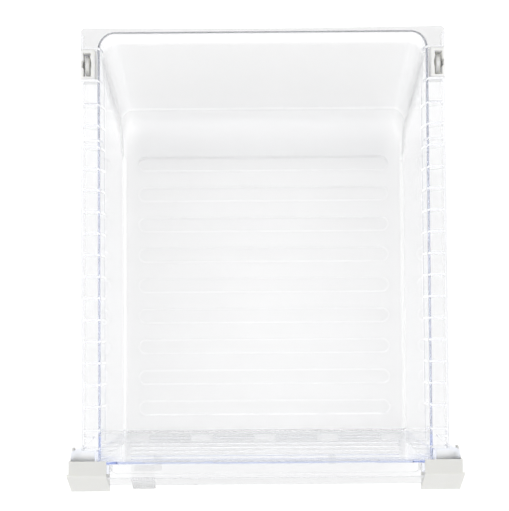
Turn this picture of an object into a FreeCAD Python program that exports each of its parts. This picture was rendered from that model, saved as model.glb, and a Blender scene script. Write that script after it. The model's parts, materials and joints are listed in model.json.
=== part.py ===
import FreeCAD, Part
import math
import os
from types import SimpleNamespace
import Sketcher
from FreeCAD import Vector

# Crisper drawer of a refrigerator, modelled empty and right way up.
# Millimetres. X points right, Y to the back, Z up, and the origin lies under the middle of the drawer,
# on the surface that it stands on.

# Driving dimensions. A place "from the wall" is measured back from the middle of the tub's front wall.
SIZES = {
    # overall
    "tub_height": "190",          # standing surface to the rim
    "nose_reach": "31",           # front wall to the front of the end caps
    "rim_length": "417.5",        # front wall to the back edge of the rim
    "gap": "0.3",                 # clearance between neighbouring pieces
    # tub
    "wall": "2.6",
    "rim_half_width": "157",      # inside, at the rim
    "floor_half_width": "149",    # inside, at the floor
    "rear_rim_width": "2.9",      # back edge of the rim beyond the back wall
    "floor_length": "352",        # front wall to the foot of the back wall
    "sweep_radius": "47.5",       # floor to back wall, outside
    "side_front_top": "1.8",      # front edge of the side walls, at the rim
    "side_front_foot": "6.2",     # and at the floor
    "hull_spare": "8",            # the hull starts this far in front, and is then cut open
    "floor_edge_radius": "6",
    "rear_corner_radius": "17",   # outside, at the rim
    "step_length": "17",          # raised front part of the floor
    "step_slope": "1.2",
    "bow": "1.5",                 # how far the rear rim is drawn in at its middle
    # rails
    "rail_width": "15.9",         # tub wall to the outside of the skirt
    "rail_plate": "2.5",
    "rail_skirt": "22",
    "skirt_wall": "2.2",
    "rail_front": "12",
    "rail_corner_radius": "5",
    "gusset_count": "15",
    "gusset_pitch": "20.8",
    "gusset_first": "53.1",
    "gusset_wall": "2",
    "gusset_drop": "40",
    "gusset_lift": "2",           # the gussets stop this far above the skirt's edge
    "bead_height": "2",
    "bead_proud": "1.2",
    "pocket_length": "17.4",
    "brace_reach": "8.5",         # how far the pocket's triangular brace reaches in from the skirt
    "brace_place": "22.6",
    "brace_wall": "1.6",
    "stop_place": "308.4",
    # floor ribs
    "rib_count": "9",
    "rib_pitch": "32.6",
    "rib_first": "43.2",
    "rib_half_length": "136",
    "rib_radius": "9.8",          # of the ends, in the middle of the floor's thickness
    "rib_top_radius": "5.6",
    "rib_rise": "2.5",
    # air windows in the cover's panel, and their shutter
    "window_depth": "11",
    "left_window_start": "-115.4",
    "left_window_end": "-50.1",
    "right_window_start": "55.7",
    "right_window_end": "106.6",
    "groove_start": "-118",
    "groove_roof": "2.3",
    "groove_depth": "1.45",
    "shutter_height": "13.1",
    "shutter_wall": "1.1",
    "shutter_play": "0.1",
    "shutter_start": "-117",
    "shutter_end": "108",
    "shutter_vent": "8",
    "shutter_lead": "6.6",        # strip left beside the right vent
    "shutter_hole": "35",
    "shutter_strip": "2",         # strip left over the middle hole and beside it
    "arm_front": "8",
    "arm_back": "2.9",
    "travel": "39",
    "travel_spare": "0.5",
    "tab_width": "7.5",
    "tab_wall": "1.7",
    "left_tab_start": "-107",
    "right_tab_start": "60",
    "tab_inside": "6.5",
    # front cover
    "cover_wall": "2.7",
    "cover_return": "16.7",       # back edge of the bottom return
    "cover_side_return": "10.9",  # back edge of the side returns, at the rim
    "cover_foot": "12.5",         # front face at the foot, in front of the wall
    "cover_foot_radius": "4",
    "cover_corner_radius": "6",
    "flute_count": "4",
    "flute_pitch": "4.3",
    "flute_first": "-6.6",
    "flute_radius": "2.2",
    "flute_depth": "0.9",
    "short_flute_place": "12.6",
    "short_flute_length": "43",
    "snap_count": "5",
    "snap_pitch": "67.3",
    "snap_width": "22.5",
    "snap_length": "6.3",
    "snap_place": "8",
    "barb_height": "1.9",
    "barb_play": "0.9",
    "end_plate_wall": "2.5",
    "end_plate_front": "10.4",
    "ear_drop": "39.5",
    "ear_wall": "2",
    "ear_front": "8",
    "ear_back_inner": "15.4",     # back corner beside the rail
    "ear_back_outer": "10.4",
    # handle rail
    "ledge_drop": "4.6",
    "ledge_front": "14.7",
    "ledge_back": "10.9",
    "trough_drop": "8",
    "trough_radius": "8",
    "handle_wall": "2.4",
    "lip_drop": "25",
    # end caps
    "cap_lap": "7.6",             # how far the caps reach in over the tub wall
    "cap_reach": "12.5",          # how far they reach out beyond the rails
    "cap_plate_rim": "2",
    "cap_wall": "2",
    "cap_drop": "42",
    "cap_top_front": "12.7",
    "cap_back": "1.5",
    "cap_plate": "1.2",
    "cap_flank_top": "14",
    "cap_flank_foot": "34",
    # humidity knob
    "knob_left": "-128.3",
    "knob_width": "21.9",
    "knob_wall": "1.5",
    "knob_hook": "3.2",
    "knob_hook_drop": "1.6",
    "knob_hook_back": "4",
    "knob_grip_proud": "0.5",
    "knob_grip_ribs": "8",
    "knob_grip_pitch": "2.5",
    "knob_grip_rib": "1.1",
    # rollers
    "roller_place": "382.7",
    "roller_inset": "5.5",        # middle of the wheel, in from the outside of the skirt
    "roller_drop": "17",
    "wheel_radius": "10.5",
    "wheel_tread": "3.6",
    "wheel_flank": "3",           # half width at the hub radius
    "hub_radius": "3.2",
    "hub_reach": "4.4",
    "hub_gap": "0.4",
    "axle_radius": "1.5",
    "axle_play": "0.05",
    "bore_play": "0.02",
    "bracket_length": "28.6",
    "bracket_top_drop": "0.4",
    "bracket_depth": "23.5",
    "bracket_width": "13.5",
    "bracket_inner_cheek": "3.8",
    "bracket_outer_cheek": "2.1",
    "bracket_front_bar": "2.4",
    "bracket_back_bar": "3.1",
}


class Size:
    """A length that carries its number and the sheet expression that gives it."""

    def __init__(self, text, value):
        self.text = text
        self.value = value

    def joined(self, sign, other, value):
        return Size("(%s %s %s)" % (self.text, sign, other.text), value)

    def __add__(self, other):
        other = as_size(other)
        return self.joined("+", other, self.value + other.value)

    def __sub__(self, other):
        other = as_size(other)
        return self.joined("-", other, self.value - other.value)

    def __mul__(self, other):
        other = as_size(other)
        return self.joined("*", other, self.value * other.value)

    def __truediv__(self, other):
        other = as_size(other)
        return self.joined("/", other, self.value / other.value)

    def __neg__(self):
        return Size("(0 - %s)" % self.text, -self.value)

    __radd__ = __add__

    def __rsub__(self, other):
        return as_size(other) - self

    def __rmul__(self, other):
        return self * other


def as_size(item):
    if isinstance(item, Size):
        return item
    return Size("(%r)" % float(item), float(item))


def angle(run, climb):
    """The angle, in degrees, of a slope that runs this far while it climbs this far."""
    text = "(atan(%s / %s) / (1 deg))" % (run.text, climb.text)
    return Size(text, math.degrees(math.atan(run.value / climb.value)))


def fill_sheet(doc):
    """Writes the driving dimensions into the sheet and returns them by name."""
    sheet = doc.addObject("Spreadsheet::Sheet", "dims")
    named = {}
    for row, (name, text) in enumerate(SIZES.items(), 1):
        sheet.set("A%d" % row, name)
        sheet.set("B%d" % row, text)
        sheet.setAlias("B%d" % row, name)
        named[name] = Size("dims." + name, float(text))
    doc.recompute()
    return SimpleNamespace(**named)


doc = FreeCAD.newDocument("crisper_drawer")
d = fill_sheet(doc)
parts = []

# Places that several pieces share
rim = d.tub_height
front = (d.nose_reach - d.rim_length) / 2
tub_outer = d.rim_half_width + d.wall
tub_outer_floor = d.floor_half_width + d.wall
rail_outer = tub_outer + d.rail_width
roller_offset = rail_outer - d.roller_inset
bracket_inner = rail_outer - d.bracket_width
cap_inner = tub_outer - d.cap_lap
cap_outer = rail_outer + d.cap_reach
cap_plate_outer = cap_outer + d.cap_plate_rim
handle_half_length = cap_inner - d.gap
back_edge = front + d.rim_length
back_wall = back_edge - d.rear_rim_width
cover_inner = tub_outer + d.gap
panel_front = front - d.cover_wall / 2
panel_back = front + d.cover_wall / 2
panel_lean = (d.cover_foot - d.cover_wall / 2) / rim
step_rise = d.cover_wall + d.gap
seat = rim - d.cap_wall - d.gap
end_plate_inside = handle_half_length - d.end_plate_wall


# Sketches and features

def mirrored(points, side):
    return [(point[0] * side,) + tuple(point[1:]) for point in points]


def origin_item(body, role):
    return [item for item in body.Origin.OriginFeatures if item.Role == role][0]


def new_body(name):
    body = doc.addObject("PartDesign::Body", name)
    body.Label = name
    return body


def bind(item, name, size):
    size = as_size(size)
    item.setExpression(name, size.text)


def new_sketch(body, name, plane, offset):
    sketch = body.newObject("Sketcher::SketchObject", name)
    sketch.AttachmentSupport = (origin_item(body, plane + "_Plane"), [""])
    sketch.MapMode = "FlatFace"
    bind(sketch, "AttachmentOffset.Base.z", offset)
    return sketch


def dimension(sketch, kind, targets, size):
    """Adds one dimension and ties it to the sheet."""
    size = as_size(size)
    index = sketch.addConstraint(Sketcher.Constraint(kind, *targets, size.value))
    sketch.setExpression("Constraints[%d]" % index, size.text)


def place_point(sketch, geometry, position, u, v):
    dimension(sketch, "DistanceX", (-1, 1, geometry, position), u)
    dimension(sketch, "DistanceY", (-1, 1, geometry, position), v)


def draw_outline(sketch, points):
    """A closed outline of straight lines. A third value on a point rounds that corner."""
    flat = [Vector(as_size(p[0]).value, as_size(p[1]).value, 0) for p in points]
    count = len(flat)
    first = sketch.GeometryCount
    for i in range(count):
        sketch.addGeometry(Part.LineSegment(flat[i], flat[(i + 1) % count]), False)
    for i in range(count):
        joint = Sketcher.Constraint("Coincident", first + i, 2, first + (i + 1) % count, 1)
        sketch.addConstraint(joint)
    for i, point in enumerate(points):
        place_point(sketch, first + i, 1, point[0], point[1])
    for i, point in enumerate(points):
        if len(point) > 2:
            before = flat[i - 1] * 0.3 + flat[i] * 0.7
            after = flat[(i + 1) % count] * 0.3 + flat[i] * 0.7
            arc = sketch.GeometryCount
            radius = as_size(point[2])
            sketch.fillet(first + (i - 1) % count, first + i, before, after, radius.value, True, True)
            dimension(sketch, "Radius", (arc,), radius)


def draw_circle(sketch, u, v, radius):
    u, v, radius = as_size(u), as_size(v), as_size(radius)
    circle = sketch.addGeometry(Part.Circle(Vector(u.value, v.value, 0), Vector(0, 0, 1), radius.value), False)
    place_point(sketch, circle, 3, u, v)
    dimension(sketch, "Radius", (circle,), radius)


def draw_stadium(sketch, half_length, v, radius):
    """A slot shape along the sketch's first axis, centred on its second."""
    left, right = as_size(-half_length + radius), as_size(half_length - radius)
    v, radius = as_size(v), as_size(radius)
    quarter = math.pi / 2
    centre_left = Vector(left.value, v.value, 0)
    centre_right = Vector(right.value, v.value, 0)
    up = Vector(0, radius.value, 0)
    circle_left = Part.Circle(centre_left, Vector(0, 0, 1), radius.value)
    circle_right = Part.Circle(centre_right, Vector(0, 0, 1), radius.value)
    a = sketch.addGeometry(Part.ArcOfCircle(circle_left, quarter, 3 * quarter), False)
    b = sketch.addGeometry(Part.LineSegment(centre_left - up, centre_right - up), False)
    c = sketch.addGeometry(Part.ArcOfCircle(circle_right, -quarter, quarter), False)
    e = sketch.addGeometry(Part.LineSegment(centre_right + up, centre_left + up), False)
    for one, end, other, start in ((a, 2, b, 1), (b, 2, c, 1), (c, 2, e, 1), (e, 2, a, 1)):
        sketch.addConstraint(Sketcher.Constraint("Tangent", one, end, other, start))
    sketch.addConstraint(Sketcher.Constraint("Equal", a, c))
    dimension(sketch, "Radius", (a,), radius)
    place_point(sketch, a, 3, left, v)
    dimension(sketch, "DistanceX", (-1, 1, c, 3), right)


def start_offset(plane, low, high, is_cut):
    """Where a sketch lies so that its feature runs from low to high."""
    if plane == "XZ":
        return -low if is_cut else -high
    return high if is_cut else low


def feature(body, name, plane, low, high, drawing, is_cut):
    low, high = as_size(low), as_size(high)
    sketch = new_sketch(body, name + "_sketch", plane, start_offset(plane, low, high, is_cut))
    for call in drawing:
        call(sketch)
    kind = "PartDesign::Pocket" if is_cut else "PartDesign::Pad"
    item = body.newObject(kind, name)
    item.Profile = sketch
    bind(item, "Length", high - low)
    doc.recompute()
    return item


def outlines(*shapes):
    return [lambda sketch, shape=shape: draw_outline(sketch, shape) for shape in shapes]


def circles(*shapes):
    return [lambda sketch, shape=shape: draw_circle(sketch, *shape) for shape in shapes]


def add(body, name, plane, low, high, drawing):
    return feature(body, name, plane, low, high, drawing, False)


def cut(body, name, plane, low, high, drawing):
    """Cuts, and stops if nothing was cut."""
    before = body.Shape.Volume
    item = feature(body, name, plane, low, high, drawing, True)
    if item.Shape.Volume > before - 1e-3:
        raise RuntimeError(name + " cuts nothing")
    return item


def box(u0, u1, v0, v1):
    return [(u0, v0), (u1, v0), (u1, v1), (u0, v1)]


def row(body, name, originals, axis, length, count):
    pattern = body.newObject("PartDesign::LinearPattern", name)
    pattern.Originals = originals
    pattern.Direction = (origin_item(body, axis + "_Axis"), [""])
    bind(pattern, "Length", length)
    bind(pattern, "Occurrences", count)
    body.Tip = pattern
    doc.recompute()
    return pattern


def middle(edge):
    return edge.valueAt((edge.FirstParameter + edge.LastParameter) / 2)


def edge_names(shape, test):
    return ["Edge%d" % i for i, edge in enumerate(shape.Edges, 1) if test(middle(edge), edge)]


def round_edges(body, name, radius, test):
    base = body.Tip
    item = body.newObject("PartDesign::Fillet", name)
    item.Base = (base, edge_names(base.Shape, test))
    bind(item, "Radius", radius)
    doc.recompute()
    return item


def shell(body, name, wall, is_open):
    """Hollows the body inwards through the faces that is_open picks."""
    base = body.Tip
    faces = ["Face%d" % i for i, face in enumerate(base.Shape.Faces, 1) if is_open(face)]
    item = body.newObject("PartDesign::Thickness", name)
    item.Base = (base, faces)
    bind(item, "Value", wall)
    item.Reversed = True
    item.Join = 0
    doc.recompute()
    return item


def near(a, b, reach=0.05):
    return abs(a - b) < reach


def horizontal_face(level):
    return lambda face: near(face.BoundBox.ZMin, level.value) and near(face.BoundBox.ZMax, level.value)


# Tub

def tapered_block(name, profile, half_rim, half_floor, top):
    """The profile, seen from the side, made as wide as the rim and tapered to the floor."""
    body = new_body(name)
    add(body, name + "_profile", "YZ", -half_rim, half_rim, outlines(profile))
    spare = as_size(12)
    lean = (half_rim - half_floor) / top
    for side, word in ((-1, "left"), (1, "right")):
        wedge = [
            (half_rim + lean * spare, top + spare),
            (half_rim + spare, top + spare),
            (half_rim + spare, -1),
            (half_floor - lean, -1),
        ]
        reach = d.rim_length + d.nose_reach
        cut(body, name + "_" + word + "_taper", "XZ", -reach, reach, outlines(mirrored(wedge, side)))
    return body


def tub_hull():
    """The tub's outside as one solid. Its rear corners are widest at the rim and narrow along the sweep."""
    profile = [
        (front - d.hull_spare, rim),
        (front - d.hull_spare, step_rise),
        (front + d.step_length, step_rise),
        (front + d.step_length + d.step_slope, 0),
        (front + d.floor_length, 0, d.sweep_radius),
        (back_wall, rim),
    ]
    body = tapered_block("tub_hull", profile, tub_outer, tub_outer_floor, rim)
    small, large = d.floor_edge_radius.value, d.rear_corner_radius.value
    rows = []
    for index, edge in enumerate(body.Shape.Edges, 1):
        spot = middle(edge)
        first, last = edge.valueAt(edge.FirstParameter), edge.valueAt(edge.LastParameter)
        at_side = abs(spot.x) > tub_outer_floor.value - 1
        tall = abs(first.z - last.z) > rim.value / 2
        straight = isinstance(edge.Curve, Part.Line)
        if at_side and tall and spot.y > 0:
            rows.append((index, large, large))
        elif at_side and not straight:
            rows.append((index, small, large) if first.z < last.z else (index, large, small))
        elif at_side and spot.z < rim.value / 4:
            rows.append((index, small, small))
    corners = doc.addObject("Part::Fillet", "tub_corners")
    corners.Base = body
    corners.Edges = rows
    doc.recompute()
    return corners


def add_rim_and_rails(body):
    """The flange round three sides, and the skirt that hangs from it along each side."""
    mid_wall = d.rim_half_width + d.wall / 2
    mid_back = back_wall - d.wall / 2
    mid_corner = d.rear_corner_radius - d.wall / 2
    flange = [
        (-mid_wall, front + d.rail_front),
        (-mid_wall, mid_back, mid_corner),
        (mid_wall, mid_back, mid_corner),
        (mid_wall, front + d.rail_front),
        (rail_outer, front + d.rail_front),
        (rail_outer, back_edge, d.rail_corner_radius),
        (-rail_outer, back_edge, d.rail_corner_radius),
        (-rail_outer, front + d.rail_front),
    ]
    add(body, "flange", "XY", rim - d.rail_plate, rim, outlines(flange))
    strips = []
    for side in (-1, 1):
        strip = box(rail_outer - d.skirt_wall, rail_outer,
                    front + d.rail_front, back_edge - d.rail_corner_radius)
        strips.append(mirrored(strip, side))
    add(body, "skirts", "XY", rim - d.rail_skirt, rim - d.rail_plate / 2, outlines(*strips))
    half = rail_outer
    radius = (half * half + d.bow * d.bow) / (d.bow * 2)
    cut(body, "rear_bow", "XY", rim - d.rail_plate - 1, rim + 1,
        circles((0, back_edge - d.bow + radius, radius)))


def gusset_shape(side, bottom_inner, bottom_outer):
    """A web from the tub wall to the skirt, seen from the front."""
    lean = (tub_outer - tub_outer_floor) / rim
    mid_wall = tub_outer - d.wall / 2
    shape = [
        (mid_wall, rim - d.rail_plate / 2),
        (rail_outer - d.skirt_wall / 2, rim - d.rail_plate / 2),
        (rail_outer - d.skirt_wall / 2, rim - bottom_outer),
        (tub_outer - lean * bottom_inner, rim - bottom_inner),
        (mid_wall - lean * bottom_inner, rim - bottom_inner),
    ]
    return mirrored(shape, side)


def add_gussets(body):
    both = [gusset_shape(side, d.gusset_drop, d.rail_skirt - d.gusset_lift) for side in (-1, 1)]
    start = front + d.gusset_first - d.gusset_wall / 2
    first = add(body, "gusset", "XZ", start, start + d.gusset_wall, outlines(*both))
    row(body, "gussets", [first], "Y", d.gusset_pitch * (d.gusset_count - 1), d.gusset_count)


def add_rail_webs(body):
    """End plate, pocket web, stop and roller well webs: short webs from wall to skirt."""
    shallow = d.rail_skirt
    well = d.bracket_length / 2 + d.gap
    places = {
        "end_plate": front + d.rail_front,
        "pocket_web": front + d.rail_front + d.pocket_length,
        "stop_web": front + d.stop_place,
        "well_front_web": front + d.roller_place - well - d.gusset_wall,
        "well_back_web": front + d.roller_place + well,
    }
    for name, place in places.items():
        both = [gusset_shape(side, shallow, shallow) for side in (-1, 1)]
        add(body, name, "XZ", place, place + d.gusset_wall, outlines(*both))


def add_pocket_braces(body):
    """In each rail's front pocket a thin triangle stands on the skirt: one web across, one slanting."""
    skirt = rail_outer - d.skirt_wall / 2
    tip = rail_outer - d.skirt_wall - d.brace_reach
    across = front + d.brace_place
    start = front + d.rail_front + d.gusset_wall / 2
    webs = []
    for side in (-1, 1):
        webs.append(mirrored(box(tip, skirt, across, across + d.brace_wall), side))
    add(body, "brace_webs", "XY", rim - d.rail_skirt, rim - d.rail_plate / 2, outlines(*webs))
    slants = []
    for side in (-1, 1):
        shape = [
            (skirt, start),
            (tip, across + d.brace_wall / 2),
            (tip + d.brace_wall, across + d.brace_wall / 2),
            (skirt, start + d.brace_wall),
        ]
        slants.append(mirrored(shape, side))
    add(body, "brace_slants", "XY", rim - d.rail_skirt, rim - d.rail_plate / 2, outlines(*slants))


def add_beads(body):
    """A fine ledge along each outer wall, where the gussets end."""
    lean = (tub_outer - tub_outer_floor) / rim
    low, high = d.gusset_drop + d.bead_height, d.gusset_drop
    both = []
    for side in (-1, 1):
        shape = [
            (tub_outer - d.wall / 2 - lean * high, rim - high),
            (tub_outer + d.bead_proud - lean * high, rim - high),
            (tub_outer + d.bead_proud / 2 - lean * low, rim - low),
            (tub_outer - d.wall / 2 - lean * low, rim - low),
        ]
        both.append(mirrored(shape, side))
    add(body, "beads", "XZ", front + d.cover_return + 2, front + d.roller_place, outlines(*both))


def cut_roller_wells(body):
    well = d.bracket_length / 2 + d.gap
    both = []
    for side in (-1, 1):
        shape = box(bracket_inner - d.gap, rail_outer + 1,
                    front + d.roller_place - well, front + d.roller_place + well)
        both.append(mirrored(shape, side))
    cut(body, "roller_wells", "XY", rim - d.gusset_drop, rim + 1, outlines(*both))


def add_floor_ribs(body):
    """Raised stadiums with sloping sides, hollowed from below to match: the floor keeps one thickness."""
    place = front + d.rib_first
    run, climb = d.rib_radius - d.rib_top_radius, d.wall / 2 + d.rib_rise
    slope = angle(run, climb)
    raised = add(body, "floor_rib", "XY", d.wall / 2, d.wall + d.rib_rise,
                 [lambda sketch: draw_stadium(sketch, d.rib_half_length, place, d.rib_radius)])
    bind(raised, "TaperAngle", -slope)
    hollow = cut(body, "floor_rib_hollow", "XY", -0.5, d.rib_rise,
                 [lambda sketch: draw_stadium(sketch, d.rib_half_length - run, place, d.rib_top_radius)])
    bind(hollow, "TaperAngle", slope)
    row(body, "floor_ribs", [raised, hollow], "Y", d.rib_pitch * (d.rib_count - 1), d.rib_count)


def snap_centres():
    count = int(d.snap_count.value)
    return [d.snap_pitch * (i - (count - 1) / 2) for i in range(count)]


def add_snap_barbs(body):
    """Wedges under the raised floor that click into the cover's snap windows."""
    shapes = []
    for centre in snap_centres():
        half = d.snap_width / 2 - d.barb_play
        shapes.append(box(centre - half, centre + half,
                          front + d.snap_place + d.gap, front + d.snap_place + d.snap_length - d.gap))
    add(body, "snap_barbs", "XY", step_rise - d.barb_height, step_rise + d.wall / 2, outlines(*shapes))


def open_front(body):
    """Cuts the front away along a leaning line, for the cover's panel to close."""
    shape = [
        (front - d.hull_spare - 1, rim + 1),
        (front + d.side_front_top, rim + 1),
        (front + d.side_front_foot, step_rise - 1),
        (front - d.hull_spare - 1, step_rise - 1),
    ]
    cut(body, "open_front", "YZ", -tub_outer - 1, tub_outer + 1, outlines(shape))


def make_tub():
    hull = tub_hull()
    body = new_body("bin_tub")
    body.BaseFeature = hull
    doc.recompute()
    shell(body, "walls", d.wall, horizontal_face(rim))
    open_front(body)
    add_rim_and_rails(body)
    add_gussets(body)
    add_rail_webs(body)
    add_pocket_braces(body)
    add_beads(body)
    cut_roller_wells(body)
    add_floor_ribs(body)
    add_snap_barbs(body)
    parts.append(body)


# Front cover

def cover_shape(name, inset):
    """The cover's solid shape, drawn in from its outside by the inset."""
    spill = inset * 2
    profile = [
        (front + d.cover_return + spill, inset),
        (front - d.cover_foot + inset, inset, d.cover_foot_radius - inset),
        (panel_front + inset, rim + spill),
        (front + d.cover_side_return + spill, rim + spill),
    ]
    half_top = cover_inner + d.cover_wall - inset
    half_floor = tub_outer_floor + d.gap + d.cover_wall - inset
    body = tapered_block(name, profile, half_top, half_floor, rim)
    reach = half_floor.value - 1
    back_line = front.value + d.cover_side_return.value - 1
    round_edges(body, name + "_corners", d.cover_corner_radius - inset,
                lambda spot, edge: abs(spot.x) > reach and spot.y < back_line
                and spot.z < rim.value - 1 and spot.z > inset.value + 0.5)
    return body


def make_cover():
    """The piece that closes the tub's front: a leaning panel, with returns under and beside the tub."""
    hull = doc.addObject("Part::Cut", "cover_hull")
    hull.Base = cover_shape("cover_outside", as_size(0))
    hull.Tool = cover_shape("cover_inside", d.cover_wall)
    doc.recompute()
    body = new_body("front_cover")
    body.BaseFeature = hull
    doc.recompute()
    cut_snap_windows(body)
    cut_flutes(body)
    cut_cap_seats(body)
    add_end_plates(body)
    cut_air_windows(body)
    add_ears(body)
    parts.append(body)


def cut_snap_windows(body):
    windows = []
    for centre in snap_centres():
        windows.append(box(centre - d.snap_width / 2, centre + d.snap_width / 2,
                           front + d.snap_place, front + d.snap_place + d.snap_length))
    cut(body, "snap_windows", "XY", -1, d.cover_wall + 1, outlines(*windows))


def cut_flutes(body):
    """Round grooves along the underside: long ones under the foot, short ones between the snap windows."""
    level = d.flute_depth - d.flute_radius
    shapes = []
    for i in range(int(d.flute_count.value)):
        shapes.append((front + d.flute_first + d.flute_pitch * i, level, d.flute_radius))
    reach = d.floor_half_width - d.cover_corner_radius
    cut(body, "long_flutes", "YZ", -reach, reach, circles(*shapes))
    first = -d.snap_pitch * (d.snap_count - 2) / 2
    half = d.short_flute_length / 2
    place = front + d.short_flute_place
    short = cut(body, "short_flute", "YZ", first - half, first + half, circles((place, level, d.flute_radius)))
    row(body, "short_flutes", [short], "X", d.snap_pitch * (d.snap_count - 2), d.snap_count - 1)


def cut_cap_seats(body):
    """Beside the panel the cover stops below the rim, so that the caps lie flush with it."""
    both = []
    for side in (-1, 1):
        shape = box(cap_inner - d.gap, cover_inner + d.cover_wall + 1, panel_front - 2, front + d.cover_return)
        both.append(mirrored(shape, side))
    cut(body, "cap_seats", "XY", seat, rim + 1, outlines(*both))


def add_end_plates(body):
    """The panel's two ends turn forwards beside the caps."""
    both = []
    for side in (-1, 1):
        shape = box(end_plate_inside, end_plate_inside + d.end_plate_wall, front - d.end_plate_front, front)
        both.append(mirrored(shape, side))
    add(body, "end_plates", "XY", rim - d.cap_drop, rim, outlines(*both))


def cut_air_windows(body):
    """Two notches in the panel's top edge, and behind them the groove for the shutter."""
    sill = rim - d.window_depth
    both = [
        box(d.left_window_start, d.left_window_end, sill, rim + 1),
        box(d.right_window_start, d.right_window_end, sill, rim + 1),
    ]
    cut(body, "air_windows", "XZ", panel_front - 3, panel_back + 1, outlines(*both))
    low = rim - d.groove_roof - d.gap - d.shutter_height - d.gap
    groove_end = d.shutter_end + d.travel + d.travel_spare
    groove = box(d.groove_start, groove_end, low, rim - d.groove_roof)
    cut(body, "shutter_groove", "XZ", panel_back - d.groove_depth, panel_back + 1, outlines(groove))


def add_ears(body):
    """A box at each top corner, open below, that carries the end cap and reaches back beside the rail."""
    outer = cap_outer - d.cap_wall - d.gap
    beside_rail = rail_outer + d.gap
    inner = cover_inner + d.cover_wall / 2
    ear_front = front - d.ear_front
    rail_end = front + d.rail_front - d.gap
    wall = d.ear_wall
    for side, word in ((-1, "left"), (1, "right")):
        shape = [
            (inner, ear_front),
            (outer, ear_front),
            (outer, front + d.ear_back_outer),
            (beside_rail, front + d.ear_back_inner),
            (beside_rail, rail_end),
            (inner, rail_end),
        ]
        add(body, word + "_ear", "XY", rim - d.ear_drop, seat, outlines(mirrored(shape, side)))
        hollow = [
            (inner + wall, ear_front + wall),
            (outer - wall, ear_front + wall),
            (outer - wall, front + d.ear_back_outer - wall * 1.3),
            (beside_rail + wall, rail_end - wall),
            (inner + wall, rail_end - wall),
        ]
        hollow = outlines(mirrored(hollow, side))
        cut(body, word + "_ear_hollow", "XY", rim - d.ear_drop - 1, seat - wall, hollow)


# Handle rail

def make_handle():
    """The strip that the fingers pull: trough, ledge and sloping lip."""
    body = new_body("handle_rail")
    lean = (d.nose_reach - d.cap_top_front) / d.cap_drop
    lip_front = front - d.cap_top_front - lean * d.lip_drop
    wall_run = d.handle_wall * 0.92
    wall_fall = d.handle_wall * 0.4
    under = rim - d.trough_drop - d.handle_wall
    back = panel_front - panel_lean * (rim - under) - d.gap
    profile = [
        (back, rim - d.ledge_drop),
        (front - d.ledge_front, rim - d.ledge_drop),
        (lip_front, rim - d.lip_drop),
        (lip_front + wall_run, rim - d.lip_drop - wall_fall),
        (front - d.ledge_front, under),
        (back, under),
    ]
    add(body, "handle_profile", "YZ", -handle_half_length, handle_half_length, outlines(profile))
    inside = end_plate_inside - d.gap
    trough = [
        (-inside, back + 1),
        (-inside, front - d.ledge_back, d.trough_radius),
        (inside, front - d.ledge_back, d.trough_radius),
        (inside, back + 1),
    ]
    cut(body, "trough", "XY", rim - d.trough_drop, rim, outlines(trough))
    ends = []
    for side in (-1, 1):
        shape = box(inside, handle_half_length + 1, front - d.end_plate_front - d.gap, back + 1)
        ends.append(mirrored(shape, side))
    cut(body, "end_clearance", "XY", under - 1, rim, outlines(*ends))
    lip_edge = (rim - d.lip_drop - wall_fall).value + 1
    round_edges(body, "lip_round", 1,
                lambda spot, edge: spot.z < lip_edge and near(spot.x, 0, 1) and spot.y < lip_front.value + 3)
    parts.append(body)


# End caps

def make_cap(side, name):
    body = new_body(name)
    lean = (d.nose_reach - d.cap_top_front) / d.cap_drop
    foot = rim - d.cap_drop
    back = front + d.cap_back
    inset = d.cap_plate * 1.1
    face_top = front - d.cap_top_front + inset
    face_foot = front - d.nose_reach + inset
    block = [(back, rim), (face_top, rim), (face_foot, foot), (back, foot)]
    near_side, far_side = cap_inner * side, cap_outer * side
    low, high = (near_side, far_side) if side > 0 else (far_side, near_side)
    add(body, "cap_block", "YZ", low, high, outlines(block))
    w = d.cap_wall
    hollow = [
        (back + 1, rim - w),
        (face_top + w * 0.7, rim - w),
        (face_foot + w * 1.5, foot + w),
        (back + 1, foot + w),
    ]
    cut(body, "cap_hollow", "YZ", low + w, high - w, outlines(hollow))
    clear_face = panel_front - panel_lean * d.cap_drop - d.gap
    beside = mirrored(box(cap_inner - 1, cover_inner + d.cover_wall + d.gap, clear_face, back + 1), side)
    cut(body, "cover_clearance", "XY", foot - 1, rim - w, outlines(beside))
    flank = [
        (back - 2, rim - w),
        (back, rim - w),
        (back, rim - d.cap_flank_top),
        (front + d.rail_front, rim - d.cap_flank_foot),
        (front + d.rail_front, foot),
        (back - 2, foot),
    ]
    outer, inner = cap_outer * side, (cap_outer - w) * side
    low, high = (inner, outer) if side > 0 else (outer, inner)
    add(body, "cap_flank", "YZ", low, high, outlines(flank))
    plate = [
        (front - d.cap_top_front, rim),
        (front - d.nose_reach, foot),
        (face_foot + 0.5, foot),
        (face_top + 0.5, rim),
    ]
    near_side, far_side = cap_inner * side, cap_plate_outer * side
    low, high = (near_side, far_side) if side > 0 else (far_side, near_side)
    add(body, "face_plate", "YZ", low, high, outlines(plate))
    parts.append(body)


# Humidity knob and shutter

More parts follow.
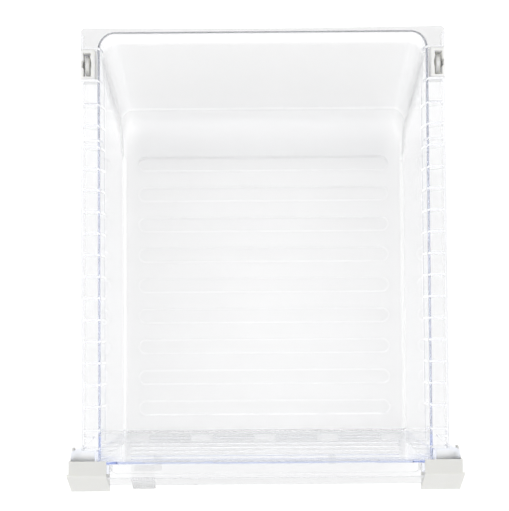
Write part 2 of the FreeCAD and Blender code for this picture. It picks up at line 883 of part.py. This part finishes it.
def make_shutter():
    """A strip in the front wall's groove, with a tab through each window and an arm to the knob."""
    body = new_body("humidity_shutter")
    back = panel_back - d.shutter_play
    face = back - d.shutter_wall
    top = rim - d.groove_roof - d.gap
    low = top - d.shutter_height
    add(body, "strip", "XZ", face, back, outlines(box(d.shutter_start, d.shutter_end, low, top)))
    vents = []
    for end in (d.left_window_end, d.right_window_end - d.shutter_lead):
        vents.append(box(end - d.shutter_vent, end, rim - d.window_depth, top + 1))
    hole_end = d.right_window_start - d.shutter_strip
    vents.append(box(hole_end - d.shutter_hole, hole_end, rim - d.window_depth, top - d.shutter_strip))
    cut(body, "vents", "XZ", face - 1, back + 1, outlines(*vents))
    tab_top = rim - d.ledge_drop - d.shutter_play
    tabs = []
    for start in (d.left_tab_start, d.right_tab_start):
        tabs.append(box(start, start + d.tab_width, front - d.arm_back - d.shutter_play, front + d.tab_inside))
    arm = box(d.knob_left + 3, d.left_tab_start + d.tab_width, front - d.arm_front, front - d.arm_back)
    add(body, "tabs", "XY", tab_top - d.tab_wall, tab_top, outlines(*tabs))
    add(body, "arm", "XY", tab_top - d.tab_wall, tab_top, outlines(arm))
    parts.append(body)


def make_knob():
    """A clear saddle over the ledge and the lip, hooked under the lip's edge."""
    body = new_body("humidity_knob")
    lean = (d.nose_reach - d.cap_top_front) / d.cap_drop
    ledge = rim - d.ledge_drop
    play = d.gap
    side_play = d.gap * 1.1
    corner_y = front - d.ledge_front
    inner_corner = (corner_y - side_play, ledge + play)
    lip_y = front - d.cap_top_front - lean * d.lip_drop
    lip_z = rim - d.lip_drop
    hook_z = lip_z - d.knob_hook_drop
    t = d.knob_wall
    profile = [
        (panel_front - 1, ledge + play),
        inner_corner,
        (lip_y - side_play, lip_z),
        (lip_y - side_play, hook_z),
        (lip_y + d.knob_hook_back, hook_z),
        (lip_y + d.knob_hook_back, hook_z - t),
        (lip_y - t - side_play, hook_z - t),
        (lip_y - d.knob_hook, lip_z),
        (corner_y - t * 1.2, ledge + play + t),
        (panel_front - 1, ledge + play + t),
    ]
    add(body, "saddle", "YZ", d.knob_left, d.knob_left + d.knob_width, outlines(profile))
    high = (corner_y - t * 1.2) * 0.3 + (lip_y - d.knob_hook) * 0.7
    level = (ledge + play + t) * 0.3 + lip_z * 0.7
    proud = d.knob_grip_proud
    rib = [
        (high + proud, level),
        (high - proud, level),
        (lip_y - d.knob_hook - proud, lip_z + 0.4),
        (lip_y - d.knob_hook + proud, lip_z - 0.2),
    ]
    spread = d.knob_grip_pitch * (d.knob_grip_ribs - 1)
    first = d.knob_left + (d.knob_width - spread - d.knob_grip_rib) / 2
    grip = add(body, "grip_rib", "YZ", first, first + d.knob_grip_rib, outlines(rib))
    row(body, "grip_ribs", [grip], "X", spread, d.knob_grip_ribs)
    parts.append(body)


# Rollers. Each piece is drawn about its axle and then placed.

def place_roller(body, side):
    bind(body, "Placement.Base.x", roller_offset * side)
    bind(body, "Placement.Base.y", front + d.roller_place)
    bind(body, "Placement.Base.z", rim - d.roller_drop)


def make_wheel(side, name):
    """A narrow wheel with sloping flanks. Its hub reaches into notches in the two cheeks."""
    body = new_body(name)
    half = d.wheel_tread / 2
    bore = d.axle_radius + d.axle_play
    profile = [
        (-d.hub_reach, bore),
        (d.hub_reach, bore),
        (d.hub_reach, d.hub_radius),
        (d.wheel_flank, d.hub_radius),
        (half, d.wheel_radius),
        (-half, d.wheel_radius),
        (-d.wheel_flank, d.hub_radius),
        (-d.hub_reach, d.hub_radius),
    ]
    sketch = new_sketch(body, "wheel_sketch", "XY", 0)
    draw_outline(sketch, profile)
    turned = body.newObject("PartDesign::Revolution", "wheel")
    turned.Profile = sketch
    turned.ReferenceAxis = (origin_item(body, "X_Axis"), [""])
    turned.Angle = 360
    place_roller(body, side)
    doc.recompute()
    parts.append(body)


def bracket_span():
    """The bracket's two sides, measured outwards from the wheel's middle."""
    return bracket_inner - roller_offset, rail_outer - roller_offset


def make_axle(side, name):
    body = new_body(name)
    inner, outer = bracket_span()
    low, high = inner + d.gap, outer - d.gap
    if side < 0:
        low, high = -high, -low
    add(body, "pin", "YZ", low, high, circles((0, 0, d.axle_radius)))
    place_roller(body, side)
    doc.recompute()
    parts.append(body)


def make_bracket(side, name):
    body = new_body(name)
    inner, outer = bracket_span()
    half = d.bracket_length / 2
    top = d.roller_drop - d.bracket_top_drop
    foot = d.roller_drop - d.bracket_depth
    add(body, "frame", "XY", foot, top, outlines(mirrored(box(inner, outer, -half, half), side)))
    slot = box(inner + d.bracket_inner_cheek, outer - d.bracket_outer_cheek,
               -half + d.bracket_front_bar, half - d.bracket_back_bar)
    cut(body, "wheel_slot", "XY", foot - 1, top + 1, outlines(mirrored(slot, side)))
    notch_reach, notch_half = d.hub_reach + d.hub_gap, d.hub_radius + d.hub_gap
    notches = box(-notch_reach, notch_reach, -notch_half, notch_half)
    cut(body, "hub_notches", "XY", foot - 1, top + 1, outlines(notches))
    reach = rail_outer
    cut(body, "axle_bores", "YZ", -reach, reach, circles((0, 0, d.axle_radius + d.bore_play)))
    place_roller(body, side)
    doc.recompute()
    parts.append(body)


make_tub()
make_cover()
make_handle()
for side, word in ((-1, "left"), (1, "right")):
    make_cap(side, word + "_end_cap")
make_shutter()
make_knob()
for side, word in ((-1, "left"), (1, "right")):
    make_bracket(side, word + "_roller_bracket")
    make_wheel(side, word + "_roller_wheel")
    make_axle(side, word + "_roller_axle")

doc.recompute()
for item in doc.Objects:
    if "Invalid" in item.State or "Error" in item.State:
        raise RuntimeError("%s failed: %s" % (item.Name, item.State))
os.makedirs("parts", exist_ok=True)
for body in parts:
    shape = body.Shape
    if shape.isNull() or not shape.isValid():
        raise RuntimeError(body.Label + " has no valid shape")
    print(body.Label, len(shape.Solids), "solids", round(shape.Volume / 1000, 1), "cm3")
    shape.exportStep("parts/%s.step" % body.Label)
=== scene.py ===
import json
import math

import bpy
from mathutils import Euler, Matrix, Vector


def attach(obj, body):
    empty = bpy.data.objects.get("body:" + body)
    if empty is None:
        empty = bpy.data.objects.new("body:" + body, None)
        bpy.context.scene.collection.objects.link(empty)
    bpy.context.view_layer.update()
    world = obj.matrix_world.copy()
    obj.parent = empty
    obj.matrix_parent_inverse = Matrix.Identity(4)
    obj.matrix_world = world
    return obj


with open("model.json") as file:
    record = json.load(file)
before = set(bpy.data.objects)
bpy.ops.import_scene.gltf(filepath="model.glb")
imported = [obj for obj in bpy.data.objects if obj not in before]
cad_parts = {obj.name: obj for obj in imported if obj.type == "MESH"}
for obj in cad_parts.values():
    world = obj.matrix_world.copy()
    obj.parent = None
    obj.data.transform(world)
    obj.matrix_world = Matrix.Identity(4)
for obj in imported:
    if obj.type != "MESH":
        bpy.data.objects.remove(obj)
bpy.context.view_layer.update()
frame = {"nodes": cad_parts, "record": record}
nodes = frame["nodes"]

MM = 0.001
FRONT_WALL_Y = -193.25
RIM_Z = 190.0


def point(x, y, z):
    """A point in metres, from mm: y from the middle of the front wall, z from the rim."""
    return Vector((x * MM, (FRONT_WALL_Y + y) * MM, (RIM_Z + z) * MM))


# Node helpers

MIX_FACTOR = 0                    # sockets of the Mix node in colour mode
MIX_FROM = 6
MIX_TO = 7
MIX_COLOUR = 2


class Nodes:
    """Adds nodes to one material, so that each recipe below stays short."""

    def __init__(self, name):
        self.material = bpy.data.materials.new(name)
        self.material.use_nodes = True
        self.tree = self.material.node_tree
        self.shader = self.tree.nodes["Principled BSDF"]
        self.output = self.tree.nodes["Material Output"]
        self.place = self.new("ShaderNodeTexCoord").outputs["Object"]

    def new(self, kind, **values):
        node = self.tree.nodes.new(kind)
        for name, value in values.items():
            setattr(node, name, value)
        return node

    def link(self, source, target):
        self.tree.links.new(source, target)

    def use(self, name, source):
        """Links a value or colour to the shader's socket of that name."""
        self.link(source, self.shader.inputs[name])

    def set(self, **values):
        for name, value in values.items():
            self.shader.inputs[name.replace("_", " ")].default_value = value

    def noise(self, scale, detail=4.0, roughness=0.5, stretch=(1, 1, 1)):
        mapping = self.new("ShaderNodeMapping")
        mapping.inputs["Scale"].default_value = stretch
        self.link(self.place, mapping.inputs["Vector"])
        noise = self.new("ShaderNodeTexNoise")
        noise.inputs["Scale"].default_value = scale
        noise.inputs["Detail"].default_value = detail
        noise.inputs["Roughness"].default_value = roughness
        self.link(mapping.outputs["Vector"], noise.inputs["Vector"])
        return noise.outputs["Fac"]

    def ramp(self, source, low, high, from_low=0.3, from_high=0.7):
        """Maps a value linearly, and clamps it."""
        node = self.new("ShaderNodeMapRange")
        node.inputs["From Min"].default_value = from_low
        node.inputs["From Max"].default_value = from_high
        node.inputs["To Min"].default_value = low
        node.inputs["To Max"].default_value = high
        self.link(source, node.inputs["Value"])
        return node.outputs["Result"]

    def above(self, source, span):
        """0 before the span and 1 after it."""
        return self.ramp(source, 0.0, 1.0, *span)

    def below(self, source, span):
        """1 before the span and 0 after it."""
        return self.ramp(source, 1.0, 0.0, *span)

    def math(self, kind, a, b=0):
        node = self.new("ShaderNodeMath", operation=kind)
        for index, value in enumerate((a, b)):
            if isinstance(value, (int, float)):
                node.inputs[index].default_value = value
            else:
                self.link(value, node.inputs[index])
        return node.outputs["Value"]

    def both(self, a, b):
        """Where two zones overlap, or a zone's share of a value."""
        return self.math("MULTIPLY", a, b)

    def more(self, a, b):
        """The larger of two values."""
        return self.math("MAXIMUM", a, b)

    def less(self, a, b):
        """A zone with another one taken out of it."""
        return self.math("SUBTRACT", a, b)

    def size(self, value):
        return self.math("ABSOLUTE", value)

    def tint(self, factor, low, high):
        """Blends between two fixed colours."""
        node = self.new("ShaderNodeMix", data_type="RGBA")
        node.inputs[MIX_FROM].default_value = (*low, 1)
        node.inputs[MIX_TO].default_value = (*high, 1)
        self.link(factor, node.inputs[MIX_FACTOR])
        return node.outputs[MIX_COLOUR]

    def blend(self, factor, source, colour):
        """Blends from a linked colour to a fixed one."""
        node = self.new("ShaderNodeMix", data_type="RGBA")
        self.link(source, node.inputs[MIX_FROM])
        node.inputs[MIX_TO].default_value = (*colour, 1)
        self.link(factor, node.inputs[MIX_FACTOR])
        return node.outputs[MIX_COLOUR]

    def split(self, vector):
        parts = self.new("ShaderNodeSeparateXYZ")
        self.link(vector, parts.inputs["Vector"])
        return parts.outputs["X"], parts.outputs["Y"], parts.outputs["Z"]

    def bump(self, height, strength, distance):
        node = self.new("ShaderNodeBump")
        node.inputs["Strength"].default_value = strength
        node.inputs["Distance"].default_value = distance
        self.link(height, node.inputs["Height"])
        self.use("Normal", node.outputs["Normal"])


def linear(r, g, b):
    """An sRGB colour of 0 to 255 as linear numbers."""
    return tuple(((v / 255 + 0.055) / 1.055) ** 2.4 for v in (r, g, b))


# Clear plastic: one body colour, and a tint and roughness for each zone of a moulding. The tints of the
# tub's zones, the cover's foot and ears and the handle's lip are painted shade, and the tub rim's tint is
# painted light.

CLEAR_IOR = 1.59
ABSORPTION_COLOUR = (0.0, 0.2, 0.8, 1)
ABSORPTION_DENSITY = 1.2
COVER_DENSITY = 2.2
SHADOW_TINT = (0.986, 0.987, 0.99, 1)
POLISH = 0.01

FLOOR_ROUGHNESS = 0.5
BACK_ROUGHNESS = 0.24
EAR_ROUGHNESS = 0.3

# Painted shade and light in the tub: the curve behind the floor, the floor's level faces, the back wall,
# the rails and the rear plate are greyer than the side walls, and the rim is lighter.
RIM_PAINTED_LIGHT = (0.984, 0.985, 0.988)
SWEEP_PAINTED_SHADE = (0.905, 0.905, 0.904)
FLOOR_FLAT_PAINTED_SHADE = (0.942, 0.941, 0.938)
RIB_FLANK_TINT = (0.962, 0.961, 0.958)
BACK_PAINTED_SHADE = (0.93, 0.929, 0.926)
SIDE_TINT = (0.962, 0.963, 0.964)
RAIL_PAINTED_SHADE = (0.89, 0.892, 0.895)
REAR_PLATE_PAINTED_SHADE = (0.78, 0.78, 0.78)
COVER_TINT = (0.985, 0.987, 0.99)
# Painted shade: the cover's fluted foot is greyer and its ears blue-grey, unlike its clear panel.
COVER_FOOT_PAINTED_SHADE = (0.945, 0.946, 0.947)
EAR_PAINTED_SHADE = (0.95, 0.96, 0.972)
HANDLE_TINT = (0.908, 0.909, 0.91)
# Painted shade: the handle's sloping lip is greyer than its ledge.
LIP_PAINTED_SHADE = (0.79, 0.79, 0.79)
KNOB_TINT = (0.95, 0.95, 0.95)
GRIP_TINT = (0.78, 0.78, 0.77)
TICK_TINT = (0.5, 0.5, 0.5)

# Where each zone starts and where it is full, in metres. Behind is y, less the back wall's rake.
BACK_WALL_RAKE = 0.33
FLANGE_Z = (0.1870, 0.1874)
RIM_START_Z = (0.166, 0.178)
FLOOR_END_Z = (0.018, 0.040)
RIB_TOP_Z = (0.0058, 0.0075)
FLOOR_FRONT_Y = (-0.177, -0.174)
REAR_PLATE_Y = (0.2035, 0.2040)
SWEEP_BEHIND = (0.100, 0.125)
BACK_BEHIND = (0.118, 0.140)
REAR_BEHIND = (0.095, 0.125)
REAR_HALF_X = (0.128, 0.142)
COVER_FOOT_Z = (0.003, 0.006)
EAR_HALF_X = (0.1622, 0.1626)
EAR_Z = (0.149, 0.1495)
LIP_END_Y = (-0.2085, -0.2080)
BRACKET_TOP_Z = (0.1885, 0.1890)
LEVEL_NORMAL = (0.85, 0.95)       # how far up a face looks

GRIP_TOP = 0.1705
GRIP_BAND_Z = (GRIP_TOP - 0.0003, GRIP_TOP)
TICK_START = 0.12665
TICK_PITCH = 0.0025
TICK_SHARE = (0.48, 0.56)


def place_of(n):
    return n.split(n.place)


def level_faces(n):
    """1 on faces that lie level, 0 on steep ones."""
    x, y, z = n.split(n.new("ShaderNodeTexCoord").outputs["Normal"])
    return n.above(n.size(z), LEVEL_NORMAL)


def tub_finish_and_shade(n, roughness):
    """The floor, the curve behind it and the back wall have a fine spark texture. The rest is polished.
    The zones also get painted shade: the floor's level faces, the curve, the back wall, the rails and the
    rear plate are tinted greyer, and the rim is painted lighter than the walls.
    """
    x, y, z = place_of(n)
    behind = n.less(y, n.both(z, BACK_WALL_RAKE))
    flange = n.above(z, FLANGE_Z)
    floor = n.both(n.below(z, FLOOR_END_Z), n.above(y, FLOOR_FRONT_Y))
    sweep = n.above(behind, SWEEP_BEHIND)
    floor = n.both(floor, n.more(n.below(z, RIB_TOP_Z), sweep))
    level = n.both(floor, n.more(level_faces(n), sweep))
    rim = n.above(z, RIM_START_Z)
    back = n.less(n.above(behind, BACK_BEHIND), rim)
    roughness = n.more(roughness, n.both(level, FLOOR_ROUGHNESS))
    roughness = n.more(roughness, n.both(back, BACK_ROUGHNESS))
    middle = n.below(n.size(x), REAR_HALF_X)
    rear = n.both(n.above(behind, REAR_BEHIND), middle)
    # Painted shade: greyer tints on the floor's level faces, the back wall, the curve behind the floor,
    # the rails and the rear plate. Painted light: a lighter tint on the rim.
    colour = n.blend(level, n.tint(floor, SIDE_TINT, RIB_FLANK_TINT), FLOOR_FLAT_PAINTED_SHADE)
    colour = n.blend(n.less(rear, rim), colour, BACK_PAINTED_SHADE)
    colour = n.blend(n.both(floor, rear), colour, SWEEP_PAINTED_SHADE)
    colour = n.blend(rim, colour, RIM_PAINTED_LIGHT)
    colour = n.blend(flange, colour, RAIL_PAINTED_SHADE)
    rear_plate = n.both(flange, n.above(y, REAR_PLATE_Y))
    return roughness, n.blend(rear_plate, colour, REAR_PLATE_PAINTED_SHADE)


def cover_finish_and_shade(n, roughness):
    """The cover's ears and its fluted foot get a painted shade, a little greyer than its panel, blue-grey
    on the ears.
    """
    x, y, z = place_of(n)
    foot = n.below(z, COVER_FOOT_Z)
    ear = n.both(n.above(n.size(x), EAR_HALF_X), n.above(z, EAR_Z))
    roughness = n.more(roughness, n.both(n.both(ear, level_faces(n)), EAR_ROUGHNESS))
    return roughness, n.blend(ear, n.tint(foot, COVER_TINT, COVER_FOOT_PAINTED_SHADE), EAR_PAINTED_SHADE)


def handle_painted_shade(n, roughness):
    """The sloping lip is painted greyer than the ledge behind it, as painted shade on the slope."""
    x, y, z = place_of(n)
    return roughness, n.tint(n.above(y, LIP_END_Y), LIP_PAINTED_SHADE, HANDLE_TINT)


def knob_finish(n, roughness):
    """The knob's grip has a grey band with fine ticks."""
    x, y, z = place_of(n)
    band = n.below(z, GRIP_BAND_Z)
    along = n.math("FRACT", n.math("DIVIDE", n.math("ADD", x, TICK_START), TICK_PITCH))
    tick = n.both(n.above(along, TICK_SHARE), band)
    return roughness, n.blend(tick, n.tint(band, KNOB_TINT, GRIP_TINT), TICK_TINT)


def shutter_finish(n, roughness):
    return roughness, n.tint(roughness, HANDLE_TINT, SIDE_TINT)


def rubbing_marks(n):
    """Fine marks from use, in loose patches."""
    rubbed = n.noise(scale=260, detail=5, roughness=0.65, stretch=(1, 0.08, 1))
    cloudy = n.noise(scale=9, detail=3)
    return n.both(n.above(rubbed, (0.55, 0.8)), n.above(cloudy, (0.4, 0.7)))


def let_light_through(n):
    """Shadow rays pass with a slight tint, so that the plastic's shadow stays pale."""
    clear = n.new("ShaderNodeBsdfTransparent")
    clear.inputs["Color"].default_value = SHADOW_TINT
    path = n.new("ShaderNodeLightPath")
    mix = n.new("ShaderNodeMixShader")
    n.link(path.outputs["Is Shadow Ray"], mix.inputs[0])
    n.link(n.shader.outputs["BSDF"], mix.inputs[1])
    n.link(clear.outputs["BSDF"], mix.inputs[2])
    n.link(mix.outputs["Shader"], n.output.inputs["Surface"])


def clear_plastic(name, flow, haze, wave, finish_and_shade, density=ABSORPTION_DENSITY):
    """Clear moulded plastic: polished, faintly wavy, with fine rubbing marks and a blue body colour."""
    n = Nodes(name)
    n.set(Transmission_Weight=1.0, IOR=CLEAR_IOR, Metallic=0.0)
    roughness, colour = finish_and_shade(n, n.ramp(rubbing_marks(n), POLISH, haze, 0.0, 1.0))
    n.use("Roughness", roughness)
    n.use("Base Color", colour)
    n.bump(n.noise(scale=24, detail=2, roughness=0.4, stretch=flow), wave, 0.002)
    body = n.new("ShaderNodeVolumeAbsorption")
    body.inputs["Color"].default_value = ABSORPTION_COLOUR
    body.inputs["Density"].default_value = density
    n.link(body.outputs["Volume"], n.output.inputs["Volume"])
    let_light_through(n)
    return n.material


# Opaque materials

CAP_GREY = linear(219, 219, 216)
# Painted light: the bracket and the wheel are written near white, lighter than their own grey, to light up
# the shaded well. The bracket's top face keeps the grey.
BRACKET_PAINTED_LIGHT = linear(251, 251, 249)
BRACKET_TOP_GREY = linear(229, 229, 227)
WHEEL_PAINTED_LIGHT = linear(252, 250, 245)
STEEL_DARK = (0.42, 0.42, 0.42)
STEEL_LIGHT = (0.6, 0.6, 0.59)
INK_DARK = (0.10, 0.10, 0.11)
INK_LIGHT = (0.16, 0.16, 0.17)


def moulded_plastic(name, colour, spread, roughness, grain, depth, top=None):
    """Light moulded plastic: fine spark texture, slight colour drift and worn, shinier patches.
    Light goes into it by the depth, in metres. The face on top may have a colour of its own: the bracket's
    top keeps its grey, and the rest is painted lighter, as painted light in the shaded well."""
    n = Nodes(name)
    drift = n.noise(scale=14, detail=3)
    light = tuple(c * (1 + spread) for c in colour)
    dark = tuple(c * (1 - spread) for c in colour)
    shade = n.tint(n.ramp(drift, 0, 1), dark, light)
    if top:
        x, y, z = place_of(n)
        shade = n.blend(n.above(z, BRACKET_TOP_Z), shade, top)
    n.use("Base Color", shade)
    n.use("Roughness", n.ramp(n.noise(scale=60), roughness * 0.85, roughness * 1.1))
    n.bump(n.noise(scale=grain, detail=2, roughness=0.6), 0.25, 0.00008)
    n.set(IOR=1.46, Subsurface_Weight=0.9, Subsurface_Scale=1.0,
          Subsurface_Radius=(depth, depth, depth * 0.9))
    return n.material


def turned_steel(name):
    """Bright steel with fine turning lines round the pin."""
    n = Nodes(name)
    lines = n.noise(scale=900, detail=2, stretch=(1, 0.02, 0.02))
    n.use("Base Color", n.tint(n.ramp(lines, 0, 1), STEEL_DARK, STEEL_LIGHT))
    n.use("Roughness", n.ramp(lines, 0.25, 0.4))
    n.set(Metallic=1.0)
    return n.material


def print_ink(name):
    """Dark screen-printed ink, slightly uneven."""
    n = Nodes(name)
    n.use("Base Color", n.tint(n.ramp(n.noise(scale=900, detail=3), 0, 1), INK_DARK, INK_LIGHT))
    n.use("Roughness", n.ramp(n.noise(scale=500, detail=2), 0.4, 0.6))
    return n.material


materials = {
    "tub_clear": clear_plastic(
        "tub_clear", flow=(1, 0.3, 1), haze=0.014, wave=0.0012, finish_and_shade=tub_finish_and_shade),
    "cover_clear": clear_plastic(
        "cover_clear", flow=(0.3, 1, 1), haze=0.012, wave=0.0004, finish_and_shade=cover_finish_and_shade,
        density=COVER_DENSITY),
    "handle_clear": clear_plastic(
        "handle_clear", flow=(0.2, 1, 1), haze=0.05, wave=0.012, finish_and_shade=handle_painted_shade),
    "shutter_clear": clear_plastic(
        "shutter_clear", flow=(0.3, 1, 1), haze=0.04, wave=0.02, finish_and_shade=shutter_finish),
    "knob_clear": clear_plastic(
        "knob_clear", flow=(1, 1, 1), haze=0.1, wave=0.03, finish_and_shade=knob_finish),
    "cap_grey": moulded_plastic(
        "cap_grey", CAP_GREY, spread=0.012, roughness=0.48, grain=1600, depth=0.0015),
    "bracket_grey": moulded_plastic(
        "bracket_grey", BRACKET_PAINTED_LIGHT, spread=0.005, roughness=0.45, grain=1400, depth=0.005,
        top=BRACKET_TOP_GREY),
    "wheel_grey": moulded_plastic(
        "wheel_grey", WHEEL_PAINTED_LIGHT, spread=0.01, roughness=0.5, grain=1800, depth=0.005),
    "axle_steel": turned_steel("axle_steel"),
}
slots = {row["node"]: row["material_slot"] for row in frame["record"]["subparts"]}
for name, node in nodes.items():
    for slot in node.material_slots:
        slot.material = materials[slots[name]]


# Printed scale on the lip, in mm

LIP_TOP = (-14.7, -4.6)           # y and z of the slope's ends
LIP_FOOT = (-23.6, -25.0)
SCALE_LEVEL = 0.92                # how far down the lip, from 0 to 1
SCALE_START = -107.0
SCALE_PITCH = 3.9
SCALE_DOTS = 10
DOT_RADIUS = 0.45
DOT_CORNERS = 12
WEDGE_GAP = 1.2
WEDGE_LENGTH = 4.2
WEDGE_HEIGHT = 1.5
INK_PROUD = 0.03


def on_lip(x, down):
    """A point just above the lip's face: x in mm, and how far down the slope."""
    y = LIP_TOP[0] + (LIP_FOOT[0] - LIP_TOP[0]) * down
    z = LIP_TOP[1] + (LIP_FOOT[1] - LIP_TOP[1]) * down
    return point(x, y - INK_PROUD, z + INK_PROUD / 2)


def make_scale():
    """A row of fine dots and, at its right end, a small wedge."""
    points, faces = [], []
    slope = math.hypot(LIP_FOOT[0] - LIP_TOP[0], LIP_FOOT[1] - LIP_TOP[1])
    for i in range(SCALE_DOTS):
        first = len(points)
        for corner in range(DOT_CORNERS):
            turn = 2 * math.pi * corner / DOT_CORNERS
            x = SCALE_START + SCALE_PITCH * i + DOT_RADIUS * math.cos(turn)
            points.append(on_lip(x, SCALE_LEVEL + DOT_RADIUS * math.sin(turn) / slope))
        faces.append(range(first, first + DOT_CORNERS))
    first = len(points)
    start = SCALE_START + SCALE_PITCH * (SCALE_DOTS - 1) + WEDGE_GAP
    low = SCALE_LEVEL + DOT_RADIUS / slope
    points += [on_lip(start, low), on_lip(start + WEDGE_LENGTH, low),
               on_lip(start + WEDGE_LENGTH, low - WEDGE_HEIGHT / slope)]
    faces.append(range(first, first + 3))
    mesh = bpy.data.meshes.new("scale_marks")
    mesh.from_pydata(points, [], [tuple(face) for face in faces])
    marks = bpy.data.objects.new("scale_marks", mesh)
    bpy.context.collection.objects.link(marks)
    marks.data.materials.append(print_ink("scale_ink"))
    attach(marks, "drawer")


make_scale()


# Stage

WHITE = (1, 1, 1, 1)
WORLD_LEVEL = 0.86
FLOOR_LIFT = 0.27
FLOOR_HALF = 6.0
FLOOR_DROP = 0.0003
FLOOR_DARK = (0.80, 0.80, 0.80)
FLOOR_LIGHT = (0.82, 0.82, 0.82)
FLOOR_CORNERS = ((-1, -1), (1, -1), (1, 1), (-1, 1))
BACKDROP_RAYS = ("Is Camera Ray", "Is Glossy Ray", "Is Transmission Ray")
AIM = (0, 0, 0.1)
FRONT_AIM = (0, -0.2, 0.1)


def floor_white():
    """Faintly mottled white, lifted a little where the camera, gloss or clear plastic shows it."""
    n = Nodes("floor_white")
    n.use("Base Color", n.tint(n.ramp(n.noise(scale=3, detail=3), 0, 1), FLOOR_DARK, FLOOR_LIGHT))
    n.set(Roughness=0.9, Specular_IOR_Level=0.0)
    lift = n.new("ShaderNodeEmission")
    lift.inputs["Color"].default_value = WHITE
    path = n.new("ShaderNodeLightPath")
    seen = path.outputs[BACKDROP_RAYS[0]]
    for other in BACKDROP_RAYS[1:]:
        seen = n.more(seen, path.outputs[other])
    n.link(n.both(seen, FLOOR_LIFT), lift.inputs["Strength"])
    total = n.new("ShaderNodeAddShader")
    n.link(n.shader.outputs["BSDF"], total.inputs[0])
    n.link(lift.outputs["Emission"], total.inputs[1])
    n.link(total.outputs["Shader"], n.output.inputs["Surface"])
    return n.material


def make_floor():
    mesh = bpy.data.meshes.new("floor")
    corners = [(x * FLOOR_HALF, y * FLOOR_HALF, 0) for x, y in FLOOR_CORNERS]
    mesh.from_pydata(corners, [], [tuple(range(len(corners)))])
    floor = bpy.data.objects.new("floor", mesh)
    bpy.context.collection.objects.link(floor)
    floor.location.z = -FLOOR_DROP
    floor.data.materials.append(floor_white())


def make_world():
    """Plain white surroundings: a lower level as light, full white where they are seen."""
    world = bpy.data.worlds.new("studio")
    bpy.context.scene.world = world
    world.use_nodes = True
    tree = world.node_tree
    back = tree.nodes["Background"]
    back.inputs["Color"].default_value = WHITE
    path = tree.nodes.new("ShaderNodeLightPath")
    level = tree.nodes.new("ShaderNodeMapRange")
    level.inputs["To Min"].default_value = WORLD_LEVEL
    level.inputs["To Max"].default_value = 1.0
    seen = path.outputs[BACKDROP_RAYS[0]]
    for other in BACKDROP_RAYS[1:]:
        either = tree.nodes.new("ShaderNodeMath")
        either.operation = "MAXIMUM"
        tree.links.new(seen, either.inputs[0])
        tree.links.new(path.outputs[other], either.inputs[1])
        seen = either.outputs["Value"]
    tree.links.new(seen, level.inputs["Value"])
    tree.links.new(level.outputs["Result"], back.inputs["Strength"])


def add_lamp(name, place, target, size, power):
    data = bpy.data.lights.new(name, "AREA")
    data.shape = "RECTANGLE"
    data.size, data.size_y = size
    data.energy = power
    lamp = bpy.data.objects.new(name, data)
    lamp.location = place
    lamp.rotation_euler = (Vector(target) - Vector(place)).to_track_quat("-Z", "Y").to_euler()
    bpy.context.collection.objects.link(lamp)


make_floor()
make_world()
add_lamp("key_left", place=(-1.5, 0.6, 1.7), target=AIM, size=(1.4, 1.8), power=7.5)
add_lamp("key_right", place=(1.5, 0.4, 1.8), target=AIM, size=(1.2, 1.8), power=7.5)
add_lamp("fill_front", place=(0.1, -2.0, 0.9), target=FRONT_AIM, size=(1.6, 0.9), power=8)
add_lamp("fill_back", place=(0.0, 1.9, 1.2), target=AIM, size=(1.8, 1.0), power=3)


# Camera and render settings

CAMERA_PLACE = (-0.00441, -0.06758, 1.760)
CAMERA_TURN = (2.601, 0.192, -0.392)          # degrees
SENSOR_WIDTH = 36.0
LENS = 115.54
CLIP_START = 0.05
CLIP_END = 30.0
LIGHT_BOUNCES = 160               # with 64, light caught in the clear plastic goes dark
TRANSPARENT_BOUNCES = 32

camera = bpy.data.objects.new("camera", bpy.data.cameras.new("camera"))
camera.data.sensor_width = SENSOR_WIDTH
camera.data.lens = LENS
camera.data.clip_start = CLIP_START
camera.data.clip_end = CLIP_END
camera.location = CAMERA_PLACE
camera.rotation_euler = Euler([math.radians(angle) for angle in CAMERA_TURN], "XYZ")
bpy.context.collection.objects.link(camera)
bpy.context.scene.camera = camera
bpy.context.scene.view_settings.view_transform = "Standard"
bounces = bpy.context.scene.cycles
bounces.max_bounces = LIGHT_BOUNCES
bounces.glossy_bounces = LIGHT_BOUNCES
bounces.transmission_bounces = LIGHT_BOUNCES
bounces.transparent_max_bounces = TRANSPARENT_BOUNCES
